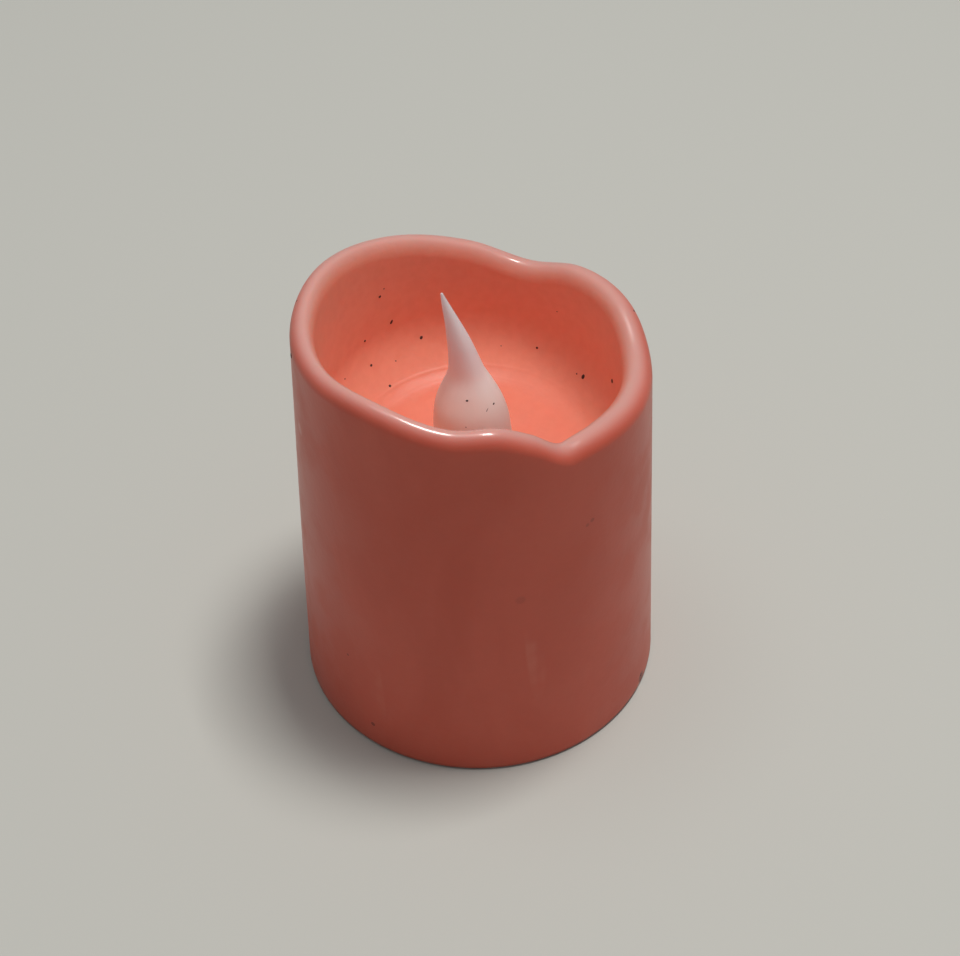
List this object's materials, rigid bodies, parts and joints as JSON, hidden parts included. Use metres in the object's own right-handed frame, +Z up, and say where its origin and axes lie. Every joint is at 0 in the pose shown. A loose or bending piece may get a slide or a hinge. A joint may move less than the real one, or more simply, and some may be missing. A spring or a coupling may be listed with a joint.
{
  "type": "flameless led candle",
  "caption": "Battery votive candle: round tapered plastic shell with a wavy rim and bowl, white flame lens, slide switch and coin-turn battery door underneath.",
  "frame": {"origin": "centre of the bottom, on the surface that the candle stands on", "axes": "+Z up along the shell's axis, -Y towards the front, +X to the right when seen from the front"},
  "size_m": [0.038, 0.038, 0.0517],
  "materials": {
    "wax_plastic": "satin salmon-red translucent plastic",
    "lens_plastic": "milky translucent",
    "led_epoxy": "clear amber epoxy",
    "tinned_steel": "tin plated",
    "black_plastic": "satin",
    "cover_plastic": "satin",
    "board": "solder mask over laminate",
    "black_resin": "epoxy resin",
    "screw_steel": "zinc plated",
    "contact_brass": "plain",
    "cell_steel": "nickel plated"
  },
  "bodies": {
    "candle": {"outer_shell": "wax_plastic", "flame_lens": "lens_plastic", "led_bulb": "led_epoxy", "led_anode_lead": "tinned_steel", "led_cathode_lead": "tinned_steel", "led_spacer": "black_plastic", "light_tower": "cover_plastic", "circuit_board": "board", "controller_blob": "black_resin", "chip_resistor": "black_resin", "board_screws": "screw_steel", "solder_joints": "tinned_steel", "switch_frame": "tinned_steel", "switch_wafer": "black_plastic", "switch_pins": "tinned_steel", "cell_can": "cell_steel", "cell_gasket": "black_plastic", "cell_cap": "cell_steel", "negative_contact": "tinned_steel", "positive_contact": "tinned_steel", "base_cover": "cover_plastic"},
    "switch_slider": {"switch_slider": "black_plastic", "switch_wiper": "contact_brass"},
    "battery_door": {"battery_door": "cover_plastic"}
  },
  "joints": [
    {"name": "switch_slide", "type": "slide", "parent": "candle", "child": "switch_slider", "axis": [0, 1, 0], "range_m": [0, 0.002]},
    {"name": "battery_door_turn", "type": "hinge", "parent": "candle", "child": "battery_door", "pos_m": [0.0032, 0, 0.0008], "axis": [0, 0, -1], "range_deg": [0, 45]}
  ]
}
